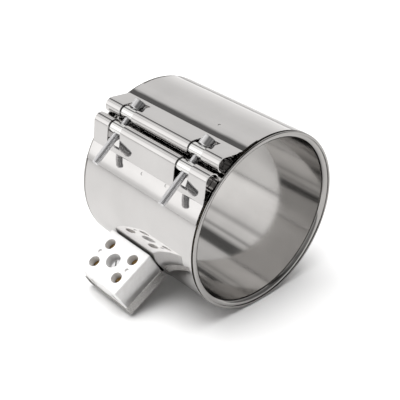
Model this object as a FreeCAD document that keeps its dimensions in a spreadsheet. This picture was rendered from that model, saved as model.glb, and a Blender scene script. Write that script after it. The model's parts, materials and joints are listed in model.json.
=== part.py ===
"""Mica band heater for an extruder or press barrel, 90 mm bore and 90 mm wide.

Millimetres. +X runs along the bore axis, +Z is up, the origin is on the bore axis at mid-width.
The clamping gap and the terminal block each have a frame of their own, turned about X:
local +Z runs outward along the middle of the gap or block, local +Y lies along the band there.
"""
import FreeCAD, Part
import Sketcher
import math
import os

V = FreeCAD.Vector
X_AXIS = V(1, 0, 0)
FULL_TURN = 360

DIMENSIONS = [
    # band and its layers
    ("bore_radius", 45.0),
    ("sheath_sheet", 0.5),
    ("inner_mica_thickness", 1.1),
    ("ribbon_thickness", 0.12),
    ("ribbon_fit", 0.04),
    ("former_thickness", 0.7),
    ("outer_mica_thickness", 0.9),
    ("band_width", 89.0),
    ("rim_bend", 2.5),
    ("rim_groove", 0.8),
    ("rim_edge_fit", 0.1),
    ("hem_gap", 0.06),
    ("hem_depth", 1.3),
    ("mica_edge_margin", 3.1),
    ("layer_end_angle", 15.8),
    ("seam_gap", 0.12),
    # clamping rolls of the outer sheath
    ("gap_angle", 40.3),
    ("gap_between_rolls", 1.5),
    ("barrel_radius", 3.4),
    ("barrel_fit", 0.2),
    ("barrel_length", 16.0),
    ("roll_sink", 0.7),
    ("tail_angle", 18.4),
    ("tail_flange", 9.8),
    ("tail_fit", 0.05),
    ("slot_width", 10.0),
    ("slot_half_reach", 15.0),
    ("slot_corner", 2.0),
    ("slot_floor", 0.55),
    ("head_way_fit", 0.3),
    ("station_inset", 18.5),
    ("weld_radius", 0.8),
    ("weld_depth", 0.2),
    # clamp screws
    ("screw_radius", 2.0),
    ("screw_length", 34.5),
    ("screw_head_radius", 3.4),
    ("screw_head_height", 5.2),
    ("socket_across", 3.0),
    ("socket_depth", 2.4),
    ("spot_face_depth", 0.3),
    ("clear_hole_fit", 0.15),
    ("thread_fit", 0.03),
    # terminal block
    ("block_angle_from_gap", 79.86),
    ("block_centre", -6.9),
    ("block_length", 32.0),
    ("block_height", 26.8),
    ("block_stand_off", 0.3),
    ("face_offset", 7.7),
    ("block_edge", 0.8),
    ("tube_radius", 3.4),
    ("tube_bore", 2.1),
    ("tube_length", 22.0),
    ("tube_spacing", 18.9),
    ("tube_drop", 2.5),
    ("tube_fit", 0.05),
    ("tube_end_wall", 2.4),
    ("wire_entry_radius", 2.4),
    ("well_spacing", 12.3),
    ("well_radius", 3.1),
    ("terminal_head_radius", 2.8),
    ("terminal_head_height", 2.0),
    ("terminal_shank_radius", 1.75),
    ("terminal_open_lift", 0.5),
    ("driver_slot_width", 0.8),
    ("driver_slot_depth", 1.0),
    ("dimple_radius", 1.2),
    ("dimple_depth", 0.8),
    ("dimple_spacing", 22.6),
    ("counterbore_radius", 4.2),
    ("counterbore_depth", 5.4),
    ("block_screw_radius", 1.5),
    ("block_screw_head_radius", 2.8),
    ("block_screw_head_height", 2.2),
    ("nut_across", 5.5),
    ("nut_height", 2.4),
    ("screw_end_past_nut", 1.0),
    # bracket under the block
    ("tray_sheet", 0.8),
    ("tray_floor_depth", 17.3),
    ("tray_wall_height", 6.8),
    ("tray_rear_fit", 0.2),
    ("tray_front_fit", 2.6),
    ("tray_outer_lip", 0.7),
    ("tray_bend", 1.2),
    ("bracket_flange_width", 30.0),
    ("bracket_flange_angle", 12.0),
    # heating element and leads
    ("ribbon_width", 3.0),
    ("ribbon_pitch", 12.0),
    ("former_edge_margin", 3.3),
    ("bus_gap", 0.6),
    ("bus_width", 1.4),
    ("first_turn_angle", 6.0),
    ("lead_radius", 0.8),
    ("lead_length", 12.4),
    ("lead_fit", 0.05),
    ("sleeve_wall", 0.7),
    ("sleeve_hole_fit", 0.1),
    ("sleeve_foot_gap", 0.1),
    ("sleeve_tube_gap", 0.3),
    ("strip_end_gap", 0.5),
]

doc = FreeCAD.newDocument("band_heater")
sheet = doc.addObject("Spreadsheet::Sheet", "dims")
for row, (alias, value) in enumerate(DIMENSIONS, start=1):
    sheet.set("A%d" % row, alias)
    sheet.set("B%d" % row, str(value))
    sheet.setAlias("B%d" % row, alias)

DERIVED = [
    # radii of the layers, from the bore outward
    ("inner_sheath_outer", "=bore_radius + sheath_sheet"),
    ("inner_mica_outer", "=inner_sheath_outer + inner_mica_thickness"),
    ("former_inner", "=inner_mica_outer + ribbon_thickness + 2 * ribbon_fit"),
    ("former_outer", "=former_inner + former_thickness"),
    ("outer_mica_inner", "=former_outer + ribbon_thickness + 2 * ribbon_fit"),
    ("outer_mica_outer", "=outer_mica_inner + outer_mica_thickness"),
    ("band_radius", "=outer_mica_outer + sheath_sheet"),
    # widths along the bore
    ("half_width", "=band_width / 2"),
    ("station_offset", "=half_width - station_inset"),
    ("hem_thickness", "=2 * sheath_sheet + hem_gap"),
    ("outer_sheath_width", "=band_width - 2 * hem_thickness - 2 * rim_groove"),
    ("mica_width", "=band_width - 2 * mica_edge_margin"),
    ("former_width", "=mica_width - 2 * former_edge_margin"),
    ("layer_sweep", "=360 - 2 * layer_end_angle"),
    # rolls: the barrels' axes are roll_height out from the bore axis
    ("roll_inner", "=barrel_radius + barrel_fit"),
    ("roll_outer", "=roll_inner + sheath_sheet"),
    ("roll_offset", "=gap_between_rolls / 2 + roll_outer"),
    ("roll_bottom", "=band_radius - roll_sink"),
    ("roll_height", "=roll_bottom + roll_inner"),
    ("screw_seat", "=roll_offset + barrel_radius - spot_face_depth"),
    # block frame: +Y is the face normal
    ("block_angle", "=gap_angle + block_angle_from_gap"),
    ("block_inner", "=band_radius + block_stand_off"),
    ("block_outer", "=block_inner + block_height"),
    ("block_middle", "=block_inner + block_height / 2"),
    ("tray_top", "=face_offset - tray_floor_depth"),
    ("tube_outer_end", "=block_outer - tube_end_wall"),
    ("tube_inner_end", "=tube_outer_end - tube_length"),
    ("tube_level", "=-tube_drop"),
    ("lead_drop", "=tube_level + lead_radius + lead_fit - tube_bore"),
    ("lead_foot", "=sqrt(outer_mica_inner ^ 2 - (lead_drop + lead_radius) ^ 2)"),
    ("sleeve_radius", "=lead_radius + lead_fit + sleeve_wall"),
    ("terminal_seat", "=tube_level + tube_radius + terminal_open_lift"),
    ("terminal_tip", "=tube_level - tube_bore + 2 * lead_radius + 2 * lead_fit"),
]
for row, (alias, formula) in enumerate(DERIVED, start=len(DIMENSIONS) + 1):
    sheet.set("A%d" % row, alias)
    sheet.set("B%d" % row, formula)
    sheet.setAlias("B%d" % row, alias)
doc.recompute()


def size(expression):
    """Value of an expression over the sheet's aliases."""
    words = expression
    for alias, _ in sorted(DIMENSIONS + DERIVED, key=lambda entry: -len(entry[0])):
        words = words.replace("<%s>" % alias, "dims." + alias)
    return float(sheet.evalExpression(words))


def cell(alias):
    return float(getattr(sheet, alias))


def bind(obj, **expressions):
    """Bind properties of an object to expressions over the sheet."""
    for prop, expression in expressions.items():
        obj.setExpression(prop, expression)
    return obj


def turned(angle, offset="vector(0; 0; 0)", then=""):
    """Placement expression: turn about the bore axis, then an offset in the turned frame."""
    turn = "placement(vector(0; 0; 0); rotation(vector(1; 0; 0); %s))" % angle
    shift = "placement(%s; rotation(vector(1; 0; 0); 0))" % offset
    return turn + " * " + shift + then


ALONG_X = " * placement(vector(0; 0; 0); rotation(vector(0; 1; 0); 90))"
ALONG_Y = " * placement(vector(0; 0; 0); rotation(vector(1; 0; 0); -90))"
AGAINST_Y = " * placement(vector(0; 0; 0); rotation(vector(1; 0; 0); 90))"
GAP = "dims.gap_angle"
BLOCK = "dims.block_angle"
LEVEL = "dims.tube_level"


# ---------------------------------------------------------------- Part primitives

def cylinder(name, radius, height, placement, sweep="360"):
    obj = doc.addObject("Part::Cylinder", name)
    bind(obj, Radius=radius, Height=height, Angle=sweep, Placement=placement)
    return obj


def box(name, length, width, height, placement):
    obj = doc.addObject("Part::Box", name)
    bind(obj, Length=length, Width=width, Height=height, Placement=placement)
    return obj


def fuse(name, shapes):
    obj = doc.addObject("Part::MultiFuse", name)
    obj.Shapes = shapes
    obj.Refine = True
    return obj


def cut(name, base, tools):
    tool = tools[0] if len(tools) == 1 else fuse(name + "_tools", tools)
    obj = doc.addObject("Part::Cut", name)
    obj.Base = base
    obj.Tool = tool
    return obj


def hexagon(name, across, height, placement):
    obj = doc.addObject("Part::Prism", name)
    obj.Polygon = 6
    bind(obj, Circumradius="%s / 2 / cos(30 deg)" % across, Height=height, Placement=placement)
    return obj


def shell(name, inner, outer, width, sweep, start):
    """Part of a tube about the bore axis that begins at the start angle from +Z."""
    place = ("placement(vector(-(%s) / 2; 0; 0); rotation(vector(1; 0; 0); %s))" % (width, start)
             + ALONG_X
             + " * placement(vector(0; 0; 0); rotation(vector(0; 0; 1); 180))")
    solid = cylinder(name + "_outer", outer, width, place, sweep)
    hollow = cylinder(name + "_inner", inner, "%s + 2" % width,
                      "placement(vector(-(%s) / 2 - 1; 0; 0); rotation(vector(0; 1; 0); 90))" % width)
    return solid, hollow


# ---------------------------------------------------------------- sketches and sheet outlines

def origin_plane(body, role):
    for feature in body.Origin.OriginFeatures:
        if feature.Role == role:
            return feature
    raise RuntimeError("no plane " + role)


def new_sketch(body, name, role, offset=None):
    sketch = body.newObject("Sketcher::SketchObject", name)
    sketch.AttachmentSupport = [(origin_plane(body, role), "")]
    sketch.MapMode = "FlatFace"
    if offset is not None:
        sketch.AttachmentOffset = offset
    return sketch


def pad(body, sketch, length, name, midplane=True):
    feature = body.newObject("PartDesign::Pad", name)
    feature.Profile = sketch
    feature.SideType = "Symmetric" if midplane else "One side"
    bind(feature, Length=length)
    sketch.Visibility = False
    return feature


def pocket(body, sketch, depth, name, outward=False):
    feature = body.newObject("PartDesign::Pocket", name)
    feature.Profile = sketch
    feature.Reversed = outward
    bind(feature, Length=depth)
    sketch.Visibility = False
    return feature


def rectangle(sketch, x0, x1, y0, y1):
    """Rectangle whose four edges are placed by expressions from the sketch origin."""
    edges = [x0, y0, x1, y1]
    now = [size(edge) for edge in edges]
    corners = [(now[0], now[1]), (now[2], now[1]), (now[2], now[3]), (now[0], now[3])]
    first = sketch.GeometryCount
    for i in range(4):
        a = corners[i]
        b = corners[(i + 1) % 4]
        sketch.addGeometry(Part.LineSegment(V(a[0], a[1], 0), V(b[0], b[1], 0)), False)
    for i in range(4):
        sketch.addConstraint(Sketcher.Constraint("Coincident", first + i, 2, first + (i + 1) % 4, 1))
    for i in range(4):
        kind = "Horizontal" if i % 2 == 0 else "Vertical"
        sketch.addConstraint(Sketcher.Constraint(kind, first + i))
    for kind, corner, value, edge in (("DistanceX", 0, now[0], x0), ("DistanceY", 0, now[1], y0),
                                      ("DistanceX", 2, now[2], x1), ("DistanceY", 2, now[3], y1)):
        index = sketch.addConstraint(Sketcher.Constraint(kind, -1, 1, first + corner, 1, value))
        sketch.setExpression("Constraints[%d]" % index, edge)


def circle(sketch, x, y, radius):
    """Circle with its centre and radius placed by expressions."""
    index = sketch.addGeometry(Part.Circle(V(size(x), size(y), 0), V(0, 0, 1), size(radius)), False)
    for kind, value in (("DistanceX", x), ("DistanceY", y)):
        number = sketch.addConstraint(Sketcher.Constraint(kind, -1, 1, index, 3, size(value)))
        sketch.setExpression("Constraints[%d]" % number, value)
    number = sketch.addConstraint(Sketcher.Constraint("Radius", index, size(radius)))
    sketch.setExpression("Constraints[%d]" % number, radius)


def unit(a, b):
    length = math.hypot(b[0] - a[0], b[1] - a[1])
    return ((b[0] - a[0]) / length, (b[1] - a[1]) / length)


def angle_of(centre, point):
    return math.atan2(point[1] - centre[1], point[0] - centre[0])


def on_circle(centre, radius, angle):
    return (centre[0] + radius * math.cos(angle), centre[1] + radius * math.sin(angle))


def line(a, b):
    return ("line", a, b)


def arc(centre, radius, start, end, left):
    """Arc walked from start to end angle, turning left (anticlockwise) or right."""
    return ("arc", centre, radius, start, end, left)


def mirrored(path):
    """The same path on the other side of the vertical axis, walked the other way."""
    result = []
    for step in reversed(path):
        if step[0] == "line":
            result.append(line((-step[2][0], step[2][1]), (-step[1][0], step[1][1])))
        else:
            _, centre, radius, start, end, left = step
            result.append(arc((-centre[0], centre[1]), radius, math.pi - end, math.pi - start, left))
    return result


def offset_step(step, side):
    """One side of the sheet: side is positive to the left of the path."""
    if step[0] == "line":
        _, a, b = step
        ux, uy = unit(a, b)
        return line((a[0] - uy * side, a[1] + ux * side), (b[0] - uy * side, b[1] + ux * side))
    _, centre, radius, start, end, left = step
    return arc(centre, radius - side if left else radius + side, start, end, left)


def step_end(step, last):
    if step[0] == "line":
        return step[2] if last else step[1]
    return on_circle(step[1], step[2], step[4] if last else step[3])


def add_step(sketch, step):
    if step[0] == "line":
        _, a, b = step
        sketch.addGeometry(Part.LineSegment(V(a[0], a[1], 0), V(b[0], b[1], 0)), False)
        return
    _, centre, radius, start, end, left = step
    if not left:
        start, end = end, start
    while end <= start:
        end += 2 * math.pi
    ring = Part.Circle(V(centre[0], centre[1], 0), V(0, 0, 1), radius)
    sketch.addGeometry(Part.ArcOfCircle(ring, start, end), False)


def sheet_section(sketch, path, thickness):
    """Closed outline of a folded sheet from its middle line."""
    left = [offset_step(step, thickness / 2) for step in path]
    right = [offset_step(step, -thickness / 2) for step in path]
    for step in left + right:
        add_step(sketch, step)
    for last in (False, True):
        index = -1 if last else 0
        add_step(sketch, line(step_end(left[index], last), step_end(right[index], last)))


# ---------------------------------------------------------------- outer sheath with its rolls

def roll_path():
    """Middle line on the +Y side of the gap: tail flange, flap, roll, then down to the body."""
    half = cell("sheath_sheet") / 2
    body = cell("band_radius") - half
    over = cell("band_radius") + cell("tail_fit") + half
    ring = cell("roll_inner") + half
    centre = (cell("roll_offset"), cell("roll_height"))
    bend = 2 * cell("sheath_sheet")
    # the flap leaves the roll along a tangent that meets the band at the tail angle
    tail = math.radians(90 - cell("tail_angle"))
    foot = on_circle((0, 0), over, tail)
    reach = math.hypot(foot[0] - centre[0], foot[1] - centre[1])
    leave = angle_of(centre, foot) + math.acos(ring / reach)
    top = on_circle(centre, ring, leave)
    ux, uy = unit(foot, top)
    # bend between the flange that lies on the band and the flap
    nx, ny = uy, -ux
    px, py = foot[0] + nx * bend, foot[1] + ny * bend
    along = px * ux + py * uy
    rest = px * px + py * py - (over + bend) ** 2
    shift = -along + math.sqrt(along * along - rest)
    knee = (px + ux * shift, py + uy * shift)
    flange_start = angle_of((0, 0), knee)
    flange_end = flange_start - cell("tail_flange") / over
    flap_foot = (knee[0] - nx * bend, knee[1] - ny * bend)
    # bend where the straight under the roll runs into the round body
    base = centre[1] - ring
    ease = 12 * cell("sheath_sheet")
    ease_centre = (math.sqrt((body - ease) ** 2 - (base - ease) ** 2), base - ease)
    ease_end = angle_of((0, 0), ease_centre)
    turn_in = angle_of(knee, (0, 0)) % (2 * math.pi)
    turn_out = angle_of(knee, flap_foot) % (2 * math.pi)
    path = [
        arc((0, 0), over, flange_end, flange_start, True),
        arc(knee, bend, turn_in, turn_out, False),
        line(flap_foot, top),
        arc(centre, ring, leave, 3 * math.pi / 2, True),
        line((centre[0], base), (ease_centre[0], base)),
        arc(ease_centre, ease, math.pi / 2, ease_end, False),
    ]
    return path, ease_end


outer_sheath = doc.addObject("PartDesign::Body", "outer_sheath")
section = new_sketch(outer_sheath, "sheath_section", "YZ_Plane")
roll, body_start = roll_path()
round_body = arc((0, 0), cell("band_radius") - cell("sheath_sheet") / 2,
                 body_start, math.pi - body_start, False)
sheet_section(section, roll + [round_body] + mirrored(roll), cell("sheath_sheet"))
pad(outer_sheath, section, "dims.outer_sheath_width", "sheath_strip")

# slots over each screw, down to just above the sheet under the rolls
SLOT_LEVEL = "dims.roll_bottom + dims.slot_floor"
for end, sign in (("front", "1"), ("rear", "-1")):
    slot = new_sketch(outer_sheath, "slot_" + end, "XY_Plane")
    bind(slot, **{".AttachmentOffset.Base.z": SLOT_LEVEL})
    mid = "(%s * dims.station_offset)" % sign
    half_slot = "dims.slot_width / 2"
    rectangle(slot, mid + " - " + half_slot, mid + " + " + half_slot,
              "-dims.slot_half_reach", "dims.slot_half_reach")
    pocket(outer_sheath, slot, "4 * dims.roll_outer", "slot_cut_" + end, outward=True)
    # the slot is deeper beyond the barrel, where the screw's head backs out over the flap
    way = new_sketch(outer_sheath, "head_way_" + end, "XY_Plane")
    bind(way, **{".AttachmentOffset.Base.z":
                 "dims.roll_height - dims.screw_head_radius - dims.head_way_fit"})
    rectangle(way, mid + " - " + half_slot, mid + " + " + half_slot,
              "dims.screw_seat + dims.screw_head_height / 2", "dims.slot_half_reach")
    pocket(outer_sheath, way, "4 * dims.roll_outer", "head_way_cut_" + end, outward=True)


def radial_sketch(body, name, turn, level):
    """Sketch square to the radius that lies turn degrees from the middle of the body's frame."""
    sketch = new_sketch(body, name, "XY_Plane")
    place = "placement(vector(0; 0; 0); rotation(vector(1; 0; 0); %s))" % turn
    place += " * placement(vector(0; 0; %s); rotation(vector(1; 0; 0); 0))" % level
    bind(sketch, AttachmentOffset=place)
    return sketch


# two holes for the leads, under the terminal block
holes = radial_sketch(outer_sheath, "lead_holes", "dims.block_angle_from_gap", "dims.band_radius + 2")
for sign in ("", "-"):
    circle(holes, "dims.block_centre + (%sdims.tube_spacing / 2)" % sign, "dims.lead_drop",
           "dims.sleeve_radius + dims.sleeve_hole_fit")
pocket(outer_sheath, holes, "4 * dims.sheath_sheet + 2", "lead_hole_cut")

# shallow dents of the spot welds along both tails: angle from the gap, place along the bore
WELDS = [(20.8, -0.9), (19.6, 16.8), (-27.3, 19.1)]
for number, (turn, place) in enumerate(WELDS):
    dent = radial_sketch(outer_sheath, "weld_%d" % number, str(turn),
                         "dims.band_radius + dims.tail_fit + 2 * dims.sheath_sheet")
    circle(dent, str(place), "0", "dims.weld_radius")
    pocket(outer_sheath, dent, "dims.sheath_sheet + dims.weld_depth", "weld_dent_%d" % number)
bind(outer_sheath, Placement=turned(GAP))


# ---------------------------------------------------------------- inner sheath, folded out at both rims

inner_sheath = doc.addObject("PartDesign::Body", "inner_sheath")
liner = new_sketch(inner_sheath, "liner_section", "XZ_Plane")
half_sheet = cell("sheath_sheet") / 2
mid_radius = cell("bore_radius") + half_sheet
fold = cell("rim_bend") - half_sheet
# the rim is hemmed: folded out, then back on its own front, so that no raw edge shows outside
hem = (cell("sheath_sheet") + cell("hem_gap")) / 2
face_x = cell("half_width") - half_sheet
rim_x = face_x - 2 * hem
hem_top = cell("band_radius") - cell("rim_edge_fit") - hem - half_sheet
hem_edge = cell("band_radius") - cell("rim_edge_fit") - cell("hem_depth")
bend_x = rim_x - fold
bend_r = mid_radius + fold
front_rim = [
    line((0, -mid_radius), (bend_x, -mid_radius)),
    arc((bend_x, -bend_r), fold, math.pi / 2, 0, False),
    line((rim_x, -bend_r), (rim_x, -hem_top)),
    arc((rim_x + hem, -hem_top), hem, math.pi, 2 * math.pi, True),
    line((face_x, -hem_top), (face_x, -hem_edge)),
]
sheet_section(liner, mirrored(front_rim) + front_rim, cell("sheath_sheet"))
spin = inner_sheath.newObject("PartDesign::Revolution", "liner_spin")
spin.Profile = liner
spin.ReferenceAxis = (liner, ["H_Axis"])
spin.Midplane = True
bind(spin, Angle="360 - dims.seam_gap / dims.bore_radius * 180 / pi")
bind(inner_sheath, Placement=turned(GAP))


# ---------------------------------------------------------------- mica layers and former

START = "dims.gap_angle + dims.layer_end_angle"
solid, hollow = shell("inner_mica_blank", "dims.inner_sheath_outer", "dims.inner_mica_outer",
                      "dims.mica_width", "dims.layer_sweep", START)
inner_mica = cut("inner_mica", solid, [hollow])

solid, hollow = shell("former_blank", "dims.former_inner", "dims.former_outer",
                      "dims.former_width", "dims.layer_sweep", START)
element_former = cut("element_former", solid, [hollow])


def at_lead(sign, radial, normal="dims.lead_drop"):
    """Offset in the block frame for something on the lead or tube of one side."""
    return "vector(dims.block_centre + %s * dims.tube_spacing / 2; %s; %s)" % (sign, normal, radial)


solid, hollow = shell("outer_mica_blank", "dims.outer_mica_inner", "dims.outer_mica_outer",
                      "dims.mica_width", "dims.layer_sweep", START)
mica_holes = []
for end, sign in (("front", "1"), ("rear", "-1")):
    mica_holes.append(cylinder("mica_hole_" + end, "dims.sleeve_radius + dims.sleeve_hole_fit", "6",
                               turned(BLOCK, at_lead(sign, "dims.outer_mica_inner - 3"))))
outer_mica = cut("outer_mica", solid, [hollow] + mica_holes)


# ---------------------------------------------------------------- resistance ribbon

def sector(inner, outer, x0, x1, start, end):
    """Ring sector about the bore axis, angles in degrees from the middle of the gap."""
    face = Part.makePolygon([V(x0, 0, inner), V(x1, 0, inner), V(x1, 0, outer),
                             V(x0, 0, outer), V(x0, 0, inner)])
    face = Part.Face(face)
    face.rotate(V(0, 0, 0), X_AXIS, start)
    return face.revolve(V(0, 0, 0), X_AXIS, end - start)


def winding(first, direction, turns, near_x):
    """Turns of ribbon round the former; returns the sectors and the angle of the last strip."""
    low = cell("inner_mica_outer") + cell("ribbon_fit")
    high = cell("outer_mica_inner") - cell("ribbon_fit")
    sheet_t = cell("ribbon_thickness")
    edge = cell("former_width") / 2 + cell("ribbon_fit")
    half_angle = math.degrees(cell("ribbon_width") / 2 / high)
    half_pitch = direction * cell("ribbon_pitch") / 2
    pieces = []
    for turn in range(turns):
        outer_at = first + 2 * half_pitch * turn
        inner_at = outer_at + half_pitch
        start_x = near_x if turn == 0 else -edge - sheet_t
        pieces.append(sector(high - sheet_t, high, start_x, edge + sheet_t,
                             outer_at - half_angle, outer_at + half_angle))
        if turn == turns - 1:
            return pieces, outer_at
        pieces.append(sector(low, low + sheet_t, -edge - sheet_t, edge + sheet_t,
                             inner_at - half_angle, inner_at + half_angle))
        near, far = sorted((outer_at, inner_at))
        pieces.append(sector(low, high, edge, edge + sheet_t, near - half_angle, far + half_angle))
        near, far = sorted((inner_at, inner_at + half_pitch))
        pieces.append(sector(low, high, -edge - sheet_t, -edge, near - half_angle, far + half_angle))
    return pieces, first


def turns_between(first, last):
    return int(abs(last - first) / cell("ribbon_pitch")) + 1


block_at = cell("block_angle_from_gap")
half_strip = math.degrees(cell("ribbon_width") / 2 / cell("outer_mica_inner"))
margin = cell("layer_end_angle") + half_strip + cell("strip_end_gap")
lead_at = block_at - math.degrees(math.asin(cell("lead_drop") / cell("lead_foot")))
near_first = lead_at - cell("first_turn_angle")
far_first = lead_at + cell("first_turn_angle")
lead_x = [cell("block_centre") + sign * cell("tube_spacing") / 2 for sign in (1, -1)]
strip = cell("ribbon_width") / 2
near_turns, near_last = winding(near_first, -1, turns_between(near_first, margin), lead_x[0] - strip)
far_turns, far_last = winding(far_first, 1, turns_between(far_first, FULL_TURN - margin),
                              lead_x[1] - strip)
high = cell("outer_mica_inner") - cell("ribbon_fit")
level = high - cell("ribbon_thickness")
bus_x = cell("former_width") / 2 + cell("ribbon_thickness") + cell("bus_gap")
pieces = near_turns + far_turns
pieces.append(sector(level, high, lead_x[0] - strip, lead_x[0] + strip,
                     near_first - half_strip, lead_at + half_strip))
pieces.append(sector(level, high, lead_x[1] - strip, lead_x[1] + strip,
                     lead_at - half_strip, far_first + half_strip))
pieces.append(sector(level, high, bus_x, bus_x + cell("bus_width"),
                     near_last - half_strip, far_last + half_strip))
for last in (near_last, far_last):
    pieces.append(sector(level, high, cell("former_width") / 2, bus_x + cell("bus_width"),
                         last - half_strip, last + half_strip))
ribbon_shape = pieces[0].multiFuse(pieces[1:])
resistance_ribbon = doc.addObject("Part::Feature", "resistance_ribbon")
resistance_ribbon.Shape = Part.Solid(ribbon_shape.Solids[0])
bind(resistance_ribbon, Placement=turned(GAP))


# ---------------------------------------------------------------- barrels and clamp screws

def at_station(sign, along, height="dims.roll_height"):
    return "vector(%s * dims.station_offset; %s; %s)" % (sign, along, height)


FAR = "3 * dims.barrel_radius"
for end, sign in (("front", "1"), ("rear", "-1")):
    start = at_station(sign, "dims.roll_offset").replace(
        "dims.station_offset;", "dims.station_offset - dims.barrel_length / 2;")
    rod = cylinder("upper_rod_" + end, "dims.barrel_radius", "dims.barrel_length",
                   turned(GAP, start, ALONG_X))
    bore = cylinder("upper_bore_" + end, "dims.screw_radius + dims.clear_hole_fit", FAR,
                    turned(GAP, at_station(sign, "0"), ALONG_Y))
    face = cylinder("spot_face_" + end, "dims.screw_head_radius + dims.clear_hole_fit", FAR,
                    turned(GAP, at_station(sign, "dims.screw_seat"), ALONG_Y))
    cut("upper_barrel_" + end, rod, [bore, face])

    start = at_station(sign, "-dims.roll_offset").replace(
        "dims.station_offset;", "dims.station_offset - dims.barrel_length / 2;")
    rod = cylinder("lower_rod_" + end, "dims.barrel_radius", "dims.barrel_length",
                   turned(GAP, start, ALONG_X))
    bore = cylinder("lower_bore_" + end, "dims.screw_radius + dims.thread_fit", FAR,
                    turned(GAP, at_station(sign, "0"), AGAINST_Y))
    cut("lower_barrel_" + end, rod, [bore])

    shank = cylinder("shank_" + end, "dims.screw_radius", "dims.screw_length + 1",
                     turned(GAP, at_station(sign, "dims.screw_seat - dims.screw_length"), ALONG_Y))
    head = cylinder("head_" + end, "dims.screw_head_radius", "dims.screw_head_height",
                    turned(GAP, at_station(sign, "dims.screw_seat"), ALONG_Y))
    socket = hexagon("socket_" + end, "dims.socket_across", "dims.socket_depth + 1",
                     turned(GAP, at_station(sign, "dims.screw_seat + dims.screw_head_height"
                                                  " - dims.socket_depth"), ALONG_Y))
    screw = fuse("screw_blank_" + end, [shank, head])
    cut("clamp_screw_" + end, screw, [socket])


# ---------------------------------------------------------------- ceramic block

def at_block(along, normal, radial):
    return "vector(dims.block_centre + %s; %s; %s)" % (along, normal, radial)


WELL_PLACES = [(end, side, x_sign, z_sign)
               for end, x_sign in (("front", "1"), ("rear", "-1"))
               for side, z_sign in (("inner", "-1"), ("outer", "1"))]

block_body = doc.addObject("PartDesign::Body", "ceramic_blank")
outline = new_sketch(block_body, "ceramic_outline", "XY_Plane")
bind(outline, **{".AttachmentOffset.Base.z": "dims.block_inner"})
rectangle(outline, "-dims.block_length / 2", "dims.block_length / 2",
          "dims.tray_top", "dims.face_offset")
blank = pad(block_body, outline, "dims.block_height", "ceramic_pad", midplane=False)
doc.recompute()
all_edges = ["Edge%d" % number for number in range(1, len(blank.Shape.Edges) + 1)]
soft = block_body.newObject("PartDesign::Fillet", "ceramic_edges")
soft.Base = (blank, all_edges)
bind(soft, Radius="dims.block_edge")
bind(block_body, Placement=turned(BLOCK, "vector(dims.block_centre; 0; 0)"))

cavities = []
for end, sign in (("front", "1"), ("rear", "-1")):
    cavities.append(cylinder("channel_" + end, "dims.tube_radius + dims.tube_fit",
                             "dims.tube_outer_end - dims.block_inner + 1",
                             turned(BLOCK, at_lead(sign, "dims.block_inner - 1", LEVEL))))
    cavities.append(cylinder("wire_entry_" + end, "dims.wire_entry_radius",
                             "dims.tube_end_wall + 2",
                             turned(BLOCK, at_lead(sign, "dims.tube_outer_end - 1", LEVEL))))
    cavities.append(cylinder("dimple_" + end, "dims.dimple_radius", "dims.dimple_depth + 1",
                             turned(BLOCK, at_block(sign + " * dims.dimple_spacing / 2",
                                                    "dims.face_offset - dims.dimple_depth",
                                                    "dims.block_middle"), ALONG_Y)))
for end, side, x_sign, z_sign in WELL_PLACES:
    radial = "dims.block_middle + %s * dims.well_spacing / 2" % z_sign
    cavities.append(cylinder("well_%s_%s" % (end, side), "dims.well_radius",
                             "dims.face_offset - dims.tube_level + 1",
                             turned(BLOCK, at_lead(x_sign, radial, LEVEL), ALONG_Y)))
cavities.append(cylinder("counterbore", "dims.counterbore_radius", "dims.counterbore_depth + 1",
                         turned(BLOCK, at_block("0", "dims.face_offset - dims.counterbore_depth",
                                                "dims.block_middle"), ALONG_Y)))
cavities.append(cylinder("block_bore", "dims.block_screw_radius + dims.clear_hole_fit", "60",
                         turned(BLOCK, at_block("0", "-30", "dims.block_middle"), ALONG_Y)))
ceramic_block = cut("ceramic_block", block_body, cavities)


# ---------------------------------------------------------------- terminal tubes, screws and leads

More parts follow.
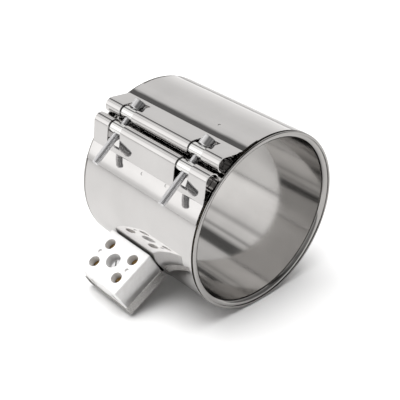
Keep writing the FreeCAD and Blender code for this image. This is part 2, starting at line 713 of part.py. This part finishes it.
for end, sign in (("front", "1"), ("rear", "-1")):
    rod = cylinder("tube_rod_" + end, "dims.tube_radius", "dims.tube_length",
                   turned(BLOCK, at_lead(sign, "dims.tube_inner_end", LEVEL)))
    bores = [cylinder("tube_bore_" + end, "dims.tube_bore", "dims.tube_length + 2",
                      turned(BLOCK, at_lead(sign, "dims.tube_inner_end - 1", LEVEL)))]
    for side, z_sign in (("inner", "-1"), ("outer", "1")):
        radial = "dims.block_middle + %s * dims.well_spacing / 2" % z_sign
        bores.append(cylinder("tapping_%s_%s" % (end, side),
                              "dims.terminal_shank_radius + dims.thread_fit",
                              "dims.tube_radius + 1",
                              turned(BLOCK, at_lead(sign, radial, LEVEL), ALONG_Y)))
        shank = cylinder("terminal_shank_%s_%s" % (end, side), "dims.terminal_shank_radius",
                         "dims.terminal_seat - dims.terminal_tip + 0.5",
                         turned(BLOCK, at_lead(sign, radial, "dims.terminal_tip"), ALONG_Y))
        head = cylinder("terminal_head_%s_%s" % (end, side), "dims.terminal_head_radius",
                        "dims.terminal_head_height",
                        turned(BLOCK, at_lead(sign, radial, "dims.terminal_seat"), ALONG_Y))
        nick = box("terminal_nick_%s_%s" % (end, side), "3 * dims.terminal_head_radius",
                   "dims.driver_slot_depth + 1", "dims.driver_slot_width",
                   turned(BLOCK, at_lead(sign, radial,
                                         "dims.terminal_seat + dims.terminal_head_height"
                                         " - dims.driver_slot_depth"))
                   + " * placement(vector(0; 0; 0); rotation(vector(0; 1; 0); 35))"
                   + " * placement(vector(-1.5 * dims.terminal_head_radius; 0;"
                     " -dims.driver_slot_width / 2); rotation(vector(0; 1; 0); 0))")
        screw = fuse("terminal_blank_%s_%s" % (end, side), [shank, head])
        cut("terminal_screw_%s_%s" % (end, side), screw, [nick])
    cut("terminal_tube_" + end, rod, bores)

    cylinder("lead_" + end, "dims.lead_radius", "dims.lead_length",
             turned(BLOCK, at_lead(sign, "dims.lead_foot")))
    sleeve = cylinder("sleeve_rod_" + end, "dims.sleeve_radius",
                      "dims.tube_inner_end - dims.lead_foot - dims.sleeve_foot_gap"
                      " - dims.sleeve_tube_gap",
                      turned(BLOCK, at_lead(sign, "dims.lead_foot + dims.sleeve_foot_gap")))
    bore = cylinder("sleeve_bore_" + end, "dims.lead_radius + dims.lead_fit", "20",
                    turned(BLOCK, at_lead(sign, "dims.lead_foot - 5")))
    cut("lead_sleeve_" + end, sleeve, [bore])


# ---------------------------------------------------------------- bracket, block screw and nut

bracket = doc.addObject("PartDesign::Body", "terminal_bracket")
tray_t = cell("tray_sheet")
floor_mid = cell("tray_top") - tray_t / 2
on_band = cell("band_radius") + tray_t / 2
bend = cell("tray_bend")
knee = (floor_mid - bend, math.sqrt((on_band + bend) ** 2 - (floor_mid - bend) ** 2))
tray_end = cell("block_outer") + cell("tray_outer_lip")
touch = angle_of((0, 0), knee)
flange_end = touch + math.radians(cell("bracket_flange_angle"))
profile = new_sketch(bracket, "bracket_section", "YZ_Plane")
sheet_section(profile, [
    line((floor_mid, tray_end), (floor_mid, knee[1])),
    arc(knee, bend, 0, angle_of(knee, (0, 0)), False),
    arc((0, 0), on_band, touch, flange_end, True),
], tray_t)
pad(bracket, profile, "dims.bracket_flange_width", "bracket_tongue")

trough = new_sketch(bracket, "trough_section", "XY_Plane")
bind(trough, **{".AttachmentOffset.Base.z": "dims.block_inner + dims.tray_bend"})
wall_top = cell("tray_top") - tray_t + cell("tray_wall_height")


def tray_side(fit):
    """Half of the tray's section: along its floor, round the bend and up the wall."""
    wall = cell("block_length") / 2 + fit + tray_t / 2
    return [
        line((0, floor_mid), (wall - bend, floor_mid)),
        arc((wall - bend, floor_mid + bend), bend, -math.pi / 2, 0, True),
        line((wall, floor_mid + bend), (wall, wall_top)),
    ]


sheet_section(trough, mirrored(tray_side(cell("tray_rear_fit"))) + tray_side(cell("tray_front_fit")), tray_t)
pad(bracket, trough, "dims.block_height + dims.tray_outer_lip - dims.tray_bend", "trough",
    midplane=False)
mount = new_sketch(bracket, "bracket_hole", "XZ_Plane")
circle(mount, "0", "dims.block_middle", "dims.block_screw_radius + dims.clear_hole_fit")
pocket(bracket, mount, "30", "bracket_hole_cut", outward=True)
bind(bracket, Placement=turned(BLOCK, "vector(dims.block_centre; 0; 0)"))

HEAD_SEAT = "dims.face_offset - dims.counterbore_depth"
NUT_TOP = "dims.tray_top - dims.tray_sheet"
SCREW_END = NUT_TOP + " - dims.nut_height - dims.screw_end_past_nut"
shank = cylinder("block_shank", "dims.block_screw_radius",
                 "%s - (%s) + 0.5" % (HEAD_SEAT, SCREW_END),
                 turned(BLOCK, at_block("0", SCREW_END, "dims.block_middle"), ALONG_Y))
head = cylinder("block_head", "dims.block_screw_head_radius", "dims.block_screw_head_height",
                turned(BLOCK, at_block("0", HEAD_SEAT, "dims.block_middle"), ALONG_Y))
nick = box("block_nick", "3 * dims.block_screw_head_radius", "dims.driver_slot_depth + 1",
           "dims.driver_slot_width",
           turned(BLOCK, at_block("0", HEAD_SEAT + " + dims.block_screw_head_height"
                                  " - dims.driver_slot_depth", "dims.block_middle"))
           + " * placement(vector(0; 0; 0); rotation(vector(0; 1; 0); -50))"
           + " * placement(vector(-1.5 * dims.block_screw_head_radius; 0;"
             " -dims.driver_slot_width / 2); rotation(vector(0; 1; 0); 0))")
cut("block_screw", fuse("block_screw_blank", [shank, head]), [nick])
nut = hexagon("nut_blank", "dims.nut_across", "dims.nut_height",
              turned(BLOCK, at_block("0", NUT_TOP, "dims.block_middle"), AGAINST_Y))
bore = cylinder("nut_bore", "dims.block_screw_radius + dims.thread_fit", "20",
                turned(BLOCK, at_block("0", NUT_TOP + " + 5", "dims.block_middle"), AGAINST_Y))
cut("block_nut", nut, [bore])


# ---------------------------------------------------------------- check and write

ENDS = ("front", "rear")
NODES = ["outer_sheath", "inner_sheath", "inner_mica", "resistance_ribbon", "element_former",
         "outer_mica", "terminal_bracket", "ceramic_block", "block_screw", "block_nut"]
for end in ENDS:
    NODES += ["upper_barrel_" + end, "lower_barrel_" + end, "clamp_screw_" + end,
              "terminal_tube_" + end, "lead_" + end, "lead_sleeve_" + end]
    NODES += ["terminal_screw_%s_%s" % (end, side) for side in ("inner", "outer")]

doc.recompute()
for obj in doc.Objects:
    if "Invalid" in obj.State or "Error" in obj.State:
        raise RuntimeError("%s is %s" % (obj.Name, obj.State))
os.makedirs("parts", exist_ok=True)
for node in NODES:
    obj = doc.getObject(node)
    obj.Label = node
    shape = obj.Shape
    if shape.isNull() or not shape.isValid():
        raise RuntimeError(node + " has no valid shape")
    if len(shape.Solids) != 1:
        raise RuntimeError("%s has %d solids" % (node, len(shape.Solids)))
    shape.exportStep("parts/%s.step" % node)
    print(node, round(shape.Volume, 2))
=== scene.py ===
"""Looks of the mica band heater: finishes, screw threads, studio floor and light.

Lengths are metres in the row frame.
"""
import bpy
import bmesh
import json
import math
from mathutils import Matrix, Vector


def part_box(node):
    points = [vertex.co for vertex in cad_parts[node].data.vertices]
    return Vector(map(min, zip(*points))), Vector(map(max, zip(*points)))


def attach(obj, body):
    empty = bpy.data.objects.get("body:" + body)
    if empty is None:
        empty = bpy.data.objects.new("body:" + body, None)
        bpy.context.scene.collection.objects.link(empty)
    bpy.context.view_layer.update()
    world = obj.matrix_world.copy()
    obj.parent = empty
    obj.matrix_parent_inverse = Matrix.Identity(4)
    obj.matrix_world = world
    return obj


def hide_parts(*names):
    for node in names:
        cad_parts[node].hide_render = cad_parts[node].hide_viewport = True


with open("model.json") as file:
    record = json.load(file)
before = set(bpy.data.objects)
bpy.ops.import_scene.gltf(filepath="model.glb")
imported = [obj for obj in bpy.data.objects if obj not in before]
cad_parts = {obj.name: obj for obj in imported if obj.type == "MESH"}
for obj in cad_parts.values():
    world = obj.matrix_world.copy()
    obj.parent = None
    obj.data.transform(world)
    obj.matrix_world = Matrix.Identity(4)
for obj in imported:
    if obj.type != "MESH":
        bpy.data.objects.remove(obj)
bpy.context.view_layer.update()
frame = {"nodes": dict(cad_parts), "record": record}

X = Vector((1, 0, 0))


# ---------------------------------------------------------------- places taken from the frame

def middle(node):
    lo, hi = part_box(node)
    return (lo + hi) / 2


FLOOR_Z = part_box("outer_sheath")[0].z


# ---------------------------------------------------------------- node helpers

def new_material(name):
    mat = bpy.data.materials.new(name)
    mat.use_nodes = True
    return mat, mat.node_tree, mat.node_tree.nodes["Principled BSDF"]


def add(tree, kind, **settings):
    node = tree.nodes.new(kind)
    for key, value in settings.items():
        setattr(node, key, value)
    return node


def noise(tree, scale, detail=3.0, stretch=(1, 1, 1), distortion=0.0):
    """Noise over the row frame; stretch below 1 lengthens it along that axis."""
    coords = add(tree, "ShaderNodeTexCoord")
    mapping = add(tree, "ShaderNodeMapping")
    mapping.inputs["Scale"].default_value = stretch
    texture = add(tree, "ShaderNodeTexNoise")
    texture.inputs["Scale"].default_value = scale
    texture.inputs["Detail"].default_value = detail
    texture.inputs["Distortion"].default_value = distortion
    tree.links.new(coords.outputs["Object"], mapping.inputs["Vector"])
    tree.links.new(mapping.outputs["Vector"], texture.inputs["Vector"])
    return texture.outputs["Fac"]


def spread(tree, factor, from_low, from_high, to_low, to_high):
    """Factor remapped to a range of values."""
    node = add(tree, "ShaderNodeMapRange")
    node.inputs["From Min"].default_value = from_low
    node.inputs["From Max"].default_value = from_high
    node.inputs["To Min"].default_value = to_low
    node.inputs["To Max"].default_value = to_high
    tree.links.new(factor, node.inputs["Value"])
    return node.outputs["Result"]


def ramp(tree, factor, stops):
    """Colour at a factor, from (place, colour) stops in rising order."""
    node = add(tree, "ShaderNodeValToRGB")
    elements = node.color_ramp.elements
    elements[0].position, elements[0].color = stops[0][0], (*stops[0][1], 1)
    elements[1].position, elements[1].color = stops[-1][0], (*stops[-1][1], 1)
    for place, colour in stops[1:-1]:
        elements.new(place).color = (*colour, 1)
    tree.links.new(factor, node.inputs["Fac"])
    return node.outputs["Color"]


def bump(tree, height, distance, base):
    """Base normal tilted by a height texture of the given depth."""
    node = add(tree, "ShaderNodeBump")
    node.inputs["Distance"].default_value = distance
    tree.links.new(height, node.inputs["Height"])
    tree.links.new(base, node.inputs["Normal"])
    return node.outputs["Normal"]


def rounded(tree, radius):
    """Normal with every edge softened to a small radius."""
    node = add(tree, "ShaderNodeBevel", samples=4)
    node.inputs["Radius"].default_value = radius
    return node.outputs["Normal"]


def painted_crevice_shade(tree, colour, reach, depth):
    """Painted shade: colour darkened by ambient occlusion where surfaces meet within reach."""
    shade = add(tree, "ShaderNodeAmbientOcclusion", samples=8)
    shade.inputs["Distance"].default_value = reach
    level = spread(tree, shade.outputs["AO"], 0.0, 0.9, 1.0 - depth, 1.0)
    mix = add(tree, "ShaderNodeMix", data_type="RGBA", blend_type="MULTIPLY")
    mix.inputs["Factor"].default_value = 1.0
    tree.links.new(colour, mix.inputs[6])
    tree.links.new(level, mix.inputs[7])
    return mix.outputs[2]


EDGE = 0.00012                  # radius that softens an edge of sheet metal
CLOUDS = 45                     # scale of the cloudy tint of metal
GRAIN = 2600                    # scale of the fine lines left by rolling
# reaches of the painted shade where surfaces meet
METAL_SHADE_REACH = 0.0012
CERAMIC_SHADE_REACH = 0.003
WAVE_STRETCH = (0.6, 1, 1)      # waves are longer along the bore axis
LOW, HIGH = 0.3, 0.7            # most values of a noise lie between these


def metal(name, dark, light, rough, grain=0.0, stretch=(0.02, 1, 1), waves=(), painted_shade=0.5):
    """Metal with cloudy tint, fine grain, slow waves in the sheet and painted shade where surfaces
    meet.

    Waves are (scale, height, distortion) of the unevenness left by rolling and bending.
    """
    mat, tree, shader = new_material(name)
    shader.inputs["Metallic"].default_value = 1.0
    colour = ramp(tree, noise(tree, CLOUDS, 4), [(LOW, dark), (HIGH, light)])
    # painted shade: base colour darkened by ambient occlusion where surfaces meet
    tree.links.new(painted_crevice_shade(tree, colour, METAL_SHADE_REACH, painted_shade), shader.inputs["Base Color"])
    lines = noise(tree, GRAIN, 2, stretch)
    tree.links.new(spread(tree, lines, LOW, HIGH, rough[0], rough[1]), shader.inputs["Roughness"])
    normal = rounded(tree, EDGE)
    for scale, height, distortion in waves:
        normal = bump(tree, noise(tree, scale, 1, WAVE_STRETCH, distortion), height, normal)
    if grain:
        normal = bump(tree, lines, grain, normal)
    tree.links.new(normal, shader.inputs["Normal"])
    return mat


def dielectric(name, dark, light, rough, scale, depth, stretch=(1, 1, 1), painted_shade=0.3):
    """Ceramic, mica or glass cloth: clouds that tint, roughen and dent the surface, and painted
    shade where surfaces meet.
    """
    mat, tree, shader = new_material(name)
    clouds = noise(tree, scale, 5, stretch)
    colour = ramp(tree, clouds, [(LOW, dark), (HIGH, light)])
    # painted shade: base colour darkened by ambient occlusion where surfaces meet
    tree.links.new(painted_crevice_shade(tree, colour, CERAMIC_SHADE_REACH, painted_shade), shader.inputs["Base Color"])
    tree.links.new(spread(tree, clouds, LOW, HIGH, rough[0], rough[1]), shader.inputs["Roughness"])
    normal = bump(tree, clouds, depth, rounded(tree, 2 * EDGE))
    tree.links.new(normal, shader.inputs["Normal"])
    return mat


# the last keyword of an entry sets the depth of the painted shade where surfaces meet
MATERIALS = {
    "polished_sheath": metal("polished_sheath", (0.66, 0.65, 0.645), (0.71, 0.70, 0.695),
                             (0.03, 0.07), 0.0000015,
                             waves=((26, 0.00022, 0.0), (115, 0.00005, 0.4)), painted_shade=0.7),
    "liner_sheath": metal("liner_sheath", (0.47, 0.46, 0.45), (0.52, 0.51, 0.50),
                          (0.07, 0.13), 0.000003, waves=((40, 0.0001, 0.0),), painted_shade=0.8),
    "bracket_steel": metal("bracket_steel", (0.50, 0.49, 0.48), (0.60, 0.59, 0.58),
                           (0.22, 0.34), 0.000004, painted_shade=0.7),
    "barrel_steel": metal("barrel_steel", (0.84, 0.84, 0.83), (0.92, 0.92, 0.91),
                          (0.05, 0.12), 0.000002, (1, 0.02, 0.02)),
    "zinc_screw": metal("zinc_screw", (0.76, 0.76, 0.77), (0.86, 0.86, 0.87),
                        (0.10, 0.18), 0.000002, (1, 1, 1), painted_shade=0.4),
    "terminal_brass": metal("terminal_brass", (0.38, 0.25, 0.10), (0.55, 0.38, 0.18),
                            (0.22, 0.36), 0.000004, (1, 1, 1)),
    "ribbon_alloy": metal("ribbon_alloy", (0.32, 0.31, 0.29), (0.45, 0.43, 0.40),
                          (0.35, 0.5), 0.000003, (1, 0.02, 0.02)),
    "lead_nickel": metal("lead_nickel", (0.52, 0.50, 0.46), (0.62, 0.60, 0.55), (0.25, 0.4)),
    "steatite": dielectric("steatite", (0.80, 0.79, 0.78), (0.86, 0.855, 0.85), (0.42, 0.6),
                           420, 0.00002),
    "mica": dielectric("mica", (0.42, 0.36, 0.26), (0.62, 0.55, 0.42), (0.35, 0.6), 300, 0.00003),
    "sleeve_glass": dielectric("sleeve_glass", (0.68, 0.66, 0.6), (0.85, 0.83, 0.77), (0.7, 0.9),
                               1500, 0.00005, (1, 0.4, 1)),
}

for part in frame["record"]["subparts"]:
    data = frame["nodes"][part["node"]].data
    data.materials.clear()
    data.materials.append(MATERIALS[part["material_slot"]])


# ---------------------------------------------------------------- clamp screws with their threads

SHANK_RADIUS = 0.002
HEAD_RADIUS = 0.0034
HEAD_HEIGHT = 0.0052
SOCKET_ACROSS = 0.003
SOCKET_DEPTH = 0.0024
PITCH = 0.0007
THREAD_DEPTH = 0.0003
FLANK_SLOPE = 2.6        # how steeply the flank climbs from root to crest
ROOT_CUT = 0.15          # taken off the flank's foot, which leaves a flat root
TIP_SLOPE = 0.6          # fall of the tip's chamfer along the axis
SOFT_EDGE = 0.0003
POINT = 0.00001          # radius of a ring that closes an end
SIDES = 48
ROWS_PER_TURN = 8


def thread_radius(along, turn):
    """Radius of the thread at a place along the shank and a turn (0 to 1) round it."""
    phase = (along / PITCH - turn) % 1.0
    flank = min(1.0, max(0.0, FLANK_SLOPE * abs(phase - 0.5) - ROOT_CUT))
    return SHANK_RADIUS - THREAD_DEPTH * (1.0 - flank)


def hexagon_radius(turn):
    """Radius of the hexagon socket at a turn (0 to 1) round it."""
    sixth = (turn * 6) % 1.0 - 0.5
    return SOCKET_ACROSS / 2 / math.cos(sixth * math.pi / 3)


def screw_rings(length):
    """(place along the axis, radius as a function of turn) from the tip to the socket's floor."""
    shank = length - HEAD_HEIGHT
    chamfer = SHANK_RADIUS / 2
    rows = int(shank / PITCH * ROWS_PER_TURN)
    rings = [(0.0, lambda turn: POINT)]
    for row in range(rows + 1):
        along = shank * row / rows
        limit = SHANK_RADIUS - max(0.0, chamfer - along) * TIP_SLOPE
        neck = SHANK_RADIUS - THREAD_DEPTH if shank - along < PITCH else SHANK_RADIUS
        rings.append((along, lambda turn, a=along, cap=min(limit, neck):
                      min(cap, thread_radius(a, turn))))
    bevel = SOFT_EDGE * 0.3
    for along, radius in ((shank, HEAD_RADIUS - SOFT_EDGE),
                          (shank + SOFT_EDGE, HEAD_RADIUS),
                          (length - SOFT_EDGE, HEAD_RADIUS),
                          (length - bevel, HEAD_RADIUS - bevel),
                          (length, HEAD_RADIUS - SOFT_EDGE)):
        rings.append((along, lambda turn, r=radius: r))
    rings.append((length, hexagon_radius))
    rings.append((length - SOCKET_DEPTH, hexagon_radius))
    rings.append((length - SOCKET_DEPTH - SOFT_EDGE, lambda turn: POINT))
    return rings


def clamp_screw(end):
    """Socket-head screw with a real thread, in place of the plain CAD screw."""
    node = "clamp_screw_" + end
    centre = middle("lower_barrel_" + end)
    axis = (middle("upper_barrel_" + end) - centre).normalized()
    reach = [(v.co - centre).dot(axis) for v in frame["nodes"][node].data.vertices]
    start, length = min(reach), max(reach) - min(reach)
    side = X.cross(axis).normalized()
    mesh = bmesh.new()
    previous = None
    for along, radius in screw_rings(length):
        ring = []
        for i in range(SIDES):
            turn = i / SIDES
            spoke = math.cos(2 * math.pi * turn) * X + math.sin(2 * math.pi * turn) * side
            ring.append(mesh.verts.new(centre + axis * (start + along) + spoke * radius(turn)))
        if previous:
            for i in range(SIDES):
                j = (i + 1) % SIDES
                mesh.faces.new((previous[i], previous[j], ring[j], ring[i]))
        previous = ring
    bmesh.ops.recalc_face_normals(mesh, faces=mesh.faces)
    data = bpy.data.meshes.new("threaded_" + node)
    mesh.to_mesh(data)
    mesh.free()
    data.materials.append(MATERIALS["zinc_screw"])
    piece = bpy.data.objects.new("threaded_" + node, data)
    bpy.context.collection.objects.link(piece)
    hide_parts(node)
    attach(piece, node)


for end in ("front", "rear"):
    clamp_screw(end)


# ---------------------------------------------------------------- camera

CAMERA_AT = Vector((0.2801, -0.2667, 0.2262))
CAMERA_RIGHT = Vector((0.6706, 0.7414, 0.0280))
CAMERA_BACK = Vector((0.6249, -0.5848, 0.5173))
back = CAMERA_BACK.normalized()
right = (CAMERA_RIGHT - CAMERA_RIGHT.dot(back) * back).normalized()
upward = back.cross(right)
camera_data = bpy.data.cameras.new("camera")
camera_data.lens = 75.0
camera_data.sensor_width = 36.0
camera = bpy.data.objects.new("camera", camera_data)
turn = Matrix((right, upward, back)).transposed().to_4x4()
camera.matrix_world = Matrix.Translation(CAMERA_AT) @ turn
bpy.context.collection.objects.link(camera)
bpy.context.scene.camera = camera


# ---------------------------------------------------------------- studio

FLOOR_HALF = 1.5
FLOOR_CLEARANCE = 0.00005


def studio_floor():
    """White floor under the band; reflections see it darker."""
    mesh = bpy.data.meshes.new("studio_floor")
    half = FLOOR_HALF
    top = FLOOR_Z - FLOOR_CLEARANCE
    corners = [(-half, -half, top), (half, -half, top), (half, half, top), (-half, half, top)]
    mesh.from_pydata(corners, [], [(0, 1, 2, 3)])
    floor = bpy.data.objects.new("studio_floor", mesh)
    bpy.context.collection.objects.link(floor)
    mat, tree, shader = new_material("studio_white")
    paper = noise(tree, 6, 2)
    bright = ramp(tree, paper, [(0.2, (0.91, 0.91, 0.91)), (0.8, (0.93, 0.93, 0.93))])
    soft = ramp(tree, paper, [(0.2, (0.60, 0.595, 0.59)), (0.8, (0.62, 0.615, 0.61))])
    path = add(tree, "ShaderNodeLightPath")
    mix = add(tree, "ShaderNodeMix", data_type="RGBA")
    tree.links.new(path.outputs["Is Glossy Ray"], mix.inputs["Factor"])
    tree.links.new(bright, mix.inputs[6])
    tree.links.new(soft, mix.inputs[7])
    tree.links.new(mix.outputs[2], shader.inputs["Base Color"])
    shader.inputs["Roughness"].default_value = 0.75
    shader.inputs["Specular IOR Level"].default_value = 0.2
    mesh.materials.append(mat)


studio_floor()


def area_light(name, place, aim, width, height, power):
    """Soft rectangular lamp that no reflection shows."""
    data = bpy.data.lights.new(name, "AREA")
    data.shape = "RECTANGLE"
    data.size = width
    data.size_y = height
    data.energy = power
    lamp = bpy.data.objects.new(name, data)
    lamp.location = place
    lamp.rotation_euler = (Vector(aim) - Vector(place)).to_track_quat("-Z", "Y").to_euler()
    bpy.context.collection.objects.link(lamp)
    lamp.visible_glossy = False


area_light("overhead", place=(-0.1, -0.1, 1.0), aim=(0, 0, 0), width=1.1, height=1.1, power=17)


def studio_world():
    """White to the camera; for reflections, brightness follows the angle round the bore axis.

    The angle runs from straight up (0 degrees) towards -Y (90 degrees).
    """
    world = bpy.data.worlds.new("studio")
    bpy.context.scene.world = world
    world.use_nodes = True
    tree = world.node_tree
    tree.nodes.clear()
    coords = add(tree, "ShaderNodeTexCoord")
    split = add(tree, "ShaderNodeSeparateXYZ")
    tree.links.new(coords.outputs["Generated"], split.inputs["Vector"])
    minus = add(tree, "ShaderNodeMath", operation="MULTIPLY")
    minus.inputs[1].default_value = -1.0
    tree.links.new(split.outputs["Y"], minus.inputs[0])
    angle = add(tree, "ShaderNodeMath", operation="ARCTAN2")
    tree.links.new(minus.outputs[0], angle.inputs[0])
    tree.links.new(split.outputs["Z"], angle.inputs[1])
    turn = spread(tree, angle.outputs[0], -math.pi, math.pi, 0.0, 1.0)

    def stop(degrees, grey):
        return ((degrees + 180) / 360, (grey, grey * 0.99, grey * 0.98))

    walls = ramp(tree, turn, [
        stop(-180, 1.0), stop(-92, 1.2), stop(-88, 1.0), stop(-80, 0.95), stop(-60, 0.78),
        stop(-48, 0.76), stop(-28, 0.8), stop(-21, 0.75), stop(-17, 0.13), stop(-3, 0.11),
        stop(1, 0.6), stop(5, 0.95), stop(9, 0.35), stop(13, 0.95), stop(24, 1.05), stop(30, 0.6),
        stop(36, 1.0), stop(50, 1.2), stop(80, 1.3), stop(86, 1.2), stop(90, 0.8), stop(180, 0.9)])
    # directions towards the front rim's side are dimmer
    front = spread(tree, split.outputs["X"], -0.2, 0.35, 1.0, 0.2)
    shown = add(tree, "ShaderNodeBackground")
    tree.links.new(walls, shown.inputs["Color"])
    tree.links.new(front, shown.inputs["Strength"])
    plain = add(tree, "ShaderNodeBackground")
    path = add(tree, "ShaderNodeLightPath")
    mix = add(tree, "ShaderNodeMixShader")
    output = add(tree, "ShaderNodeOutputWorld")
    tree.links.new(path.outputs["Is Camera Ray"], mix.inputs["Fac"])
    tree.links.new(shown.outputs[0], mix.inputs[1])
    tree.links.new(plain.outputs[0], mix.inputs[2])
    plain.inputs["Color"].default_value = (1, 1, 1, 1)
    tree.links.new(mix.outputs[0], output.inputs["Surface"])


studio_world()
bpy.context.scene.view_settings.view_transform = "Standard"
